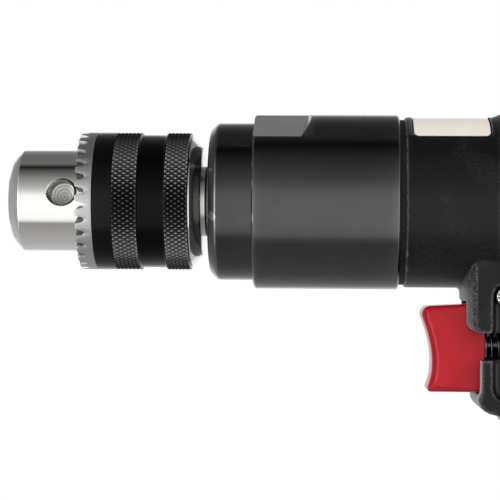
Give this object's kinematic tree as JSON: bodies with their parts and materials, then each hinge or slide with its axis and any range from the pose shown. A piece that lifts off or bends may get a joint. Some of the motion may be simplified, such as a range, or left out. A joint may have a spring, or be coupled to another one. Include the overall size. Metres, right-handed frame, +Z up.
{
  "type": "air drill",
  "caption": "Pistol-grip air drill with a keyed three-jaw chuck, planetary reduction, vane air motor, trigger throttle, side reversing lever and a threaded air inlet at the foot of the grip.",
  "frame": {"origin": "where the spindle axis leaves the flat face of the chuck's nose", "axes": "+X from the chuck's nose to the rear of the tool along the spindle axis, +Z up, handle down"},
  "size_m": [0.1821, 0.0438, 0.1726],
  "materials": {
    "polished_steel": "satin polished steel",
    "machined_steel": "ground and machined steel",
    "black_sleeve": "glossy black oxide with a bright steel front rim",
    "black_gearbox": "gloss black anodised aluminium",
    "black_housing": "matt black powder coat on cast aluminium",
    "black_rubber": "black nitrile rubber",
    "red_trigger": "glossy red moulded plastic",
    "name_plate": "pale bare printed plate",
    "bronze": "turned bronze",
    "spring_steel": "black oxide spring wire",
    "vane": "phenolic laminate",
    "felt": "pressed wool felt"
  },
  "bodies": {
    "housing": {"gear_housing": "black_gearbox", "spindle_seal": "black_rubber", "front_bearing_outer": "machined_steel", "ring_gear": "machined_steel", "gear_spacer": "machined_steel", "housing_seal": "black_rubber", "motor_cylinder": "machined_steel", "front_end_plate": "machined_steel", "rear_end_plate": "machined_steel", "rotor_front_bearing_outer": "machined_steel", "rotor_rear_bearing_outer": "machined_steel", "cylinder_pin": "machined_steel", "motor_housing": "black_housing", "name_plate": "name_plate", "badge_plate_left": "black_housing", "badge_plate_right": "black_housing", "trigger_spring": "spring_steel", "trigger_bush": "bronze", "stem_oring": "black_rubber", "valve_seat": "bronze", "throttle_spring": "machined_steel", "inlet_bush": "machined_steel", "inlet_strainer": "machined_steel"},
    "spindle": {"spindle": "machined_steel", "chuck_body": "polished_steel", "chuck_screw": "machined_steel", "front_bearing_inner": "machined_steel", "front_bearing_balls": "machined_steel", "planet_pins": "machined_steel", "carrier_plate": "machined_steel"},
    "planet_1": {"planet_gear_1": "machined_steel"},
    "planet_2": {"planet_gear_2": "machined_steel"},
    "planet_3": {"planet_gear_3": "machined_steel"},
    "rotor": {"rotor": "machined_steel", "rotor_vanes": "vane", "rotor_front_bearing_inner": "machined_steel", "rotor_front_bearing_balls": "machined_steel", "rotor_rear_bearing_inner": "machined_steel", "rotor_rear_bearing_balls": "machined_steel"},
    "chuck_sleeve": {"chuck_sleeve": "black_sleeve", "chuck_nut": "machined_steel"},
    "jaw_1": {"chuck_jaw_1": "machined_steel"},
    "jaw_2": {"chuck_jaw_2": "machined_steel"},
    "jaw_3": {"chuck_jaw_3": "machined_steel"},
    "trigger": {"trigger": "red_trigger", "trigger_stem": "machined_steel"},
    "throttle": {"throttle_valve": "black_rubber"},
    "reverse": {"reverse_valve": "machined_steel", "reverse_lever": "polished_steel", "lever_screw": "polished_steel", "reverse_orings": "black_rubber", "reverse_clip": "machined_steel"},
    "deflector": {"exhaust_deflector": "black_housing", "muffler_felt": "felt"}
  },
  "joints": [
    {"name": "spindle_spin", "type": "hinge", "parent": "housing", "child": "spindle", "pos_m": [0, 0, 0], "axis": [1, 0, 0], "continuous": true},
    {"name": "rotor_spin", "type": "hinge", "parent": "housing", "child": "rotor", "pos_m": [0, 0, 0], "axis": [1, 0, 0], "continuous": true},
    {"name": "planet_1_spin", "type": "hinge", "parent": "spindle", "child": "planet_1", "pos_m": [0.07, 0, 0.00975], "axis": [1, 0, 0], "continuous": true},
    {"name": "planet_2_spin", "type": "hinge", "parent": "spindle", "child": "planet_2", "pos_m": [0.07, -0.00844, -0.00487], "axis": [1, 0, 0], "continuous": true},
    {"name": "planet_3_spin", "type": "hinge", "parent": "spindle", "child": "planet_3", "pos_m": [0.07, 0.00844, -0.00487], "axis": [1, 0, 0], "continuous": true},
    {"name": "sleeve_turn", "type": "hinge", "parent": "spindle", "child": "chuck_sleeve", "pos_m": [0, 0, 0], "axis": [-1, 0, 0], "range_deg": [0, 5130]},
    {"name": "jaw_1_slide", "type": "slide", "parent": "spindle", "child": "jaw_1", "axis": [-0.9636, 0.1627, 0.212], "range_m": [0, 0.0182]},
    {"name": "jaw_2_slide", "type": "slide", "parent": "spindle", "child": "jaw_2", "axis": [-0.9636, -0.265, 0.0349], "range_m": [0, 0.0182]},
    {"name": "jaw_3_slide", "type": "slide", "parent": "spindle", "child": "jaw_3", "axis": [-0.9636, 0.1023, -0.2469], "range_m": [0, 0.0182]},
    {"name": "trigger_pull", "type": "slide", "parent": "housing", "child": "trigger", "axis": [1, 0, 0], "range_m": [0, 0.006], "stiffness_N_per_m": 800, "springref_m": -0.003, "deforming": ["trigger_spring", "throttle_spring"]},
    {"name": "throttle_slide", "type": "slide", "parent": "housing", "child": "throttle", "axis": [1, 0, 0], "range_m": [0, 0.006]},
    {"name": "reverse_swing", "type": "hinge", "parent": "housing", "child": "reverse", "pos_m": [0.13505, 0, -0.0252], "axis": [0, -1, 0], "range_deg": [0, 30]},
    {"name": "deflector_turn", "type": "hinge", "parent": "housing", "child": "deflector", "pos_m": [0.14055, 0, -0.05], "axis": [-0.1392, 0, 0.9903], "continuous": true}
  ],
  "couplings": [
    {"joint": "rotor_spin", "follows": "spindle_spin", "ratio": 5},
    {"joint": "planet_1_spin", "follows": "spindle_spin", "ratio": -2.6667},
    {"joint": "planet_2_spin", "follows": "spindle_spin", "ratio": -2.6667},
    {"joint": "planet_3_spin", "follows": "spindle_spin", "ratio": -2.6667},
    {"joint": "jaw_1_slide", "follows": "sleeve_turn", "m_per_rad": 0.00020213},
    {"joint": "jaw_2_slide", "follows": "sleeve_turn", "m_per_rad": 0.00020213},
    {"joint": "jaw_3_slide", "follows": "sleeve_turn", "m_per_rad": 0.00020213},
    {"joint": "throttle_slide", "follows": "trigger_pull", "ratio": 1}
  ]
}
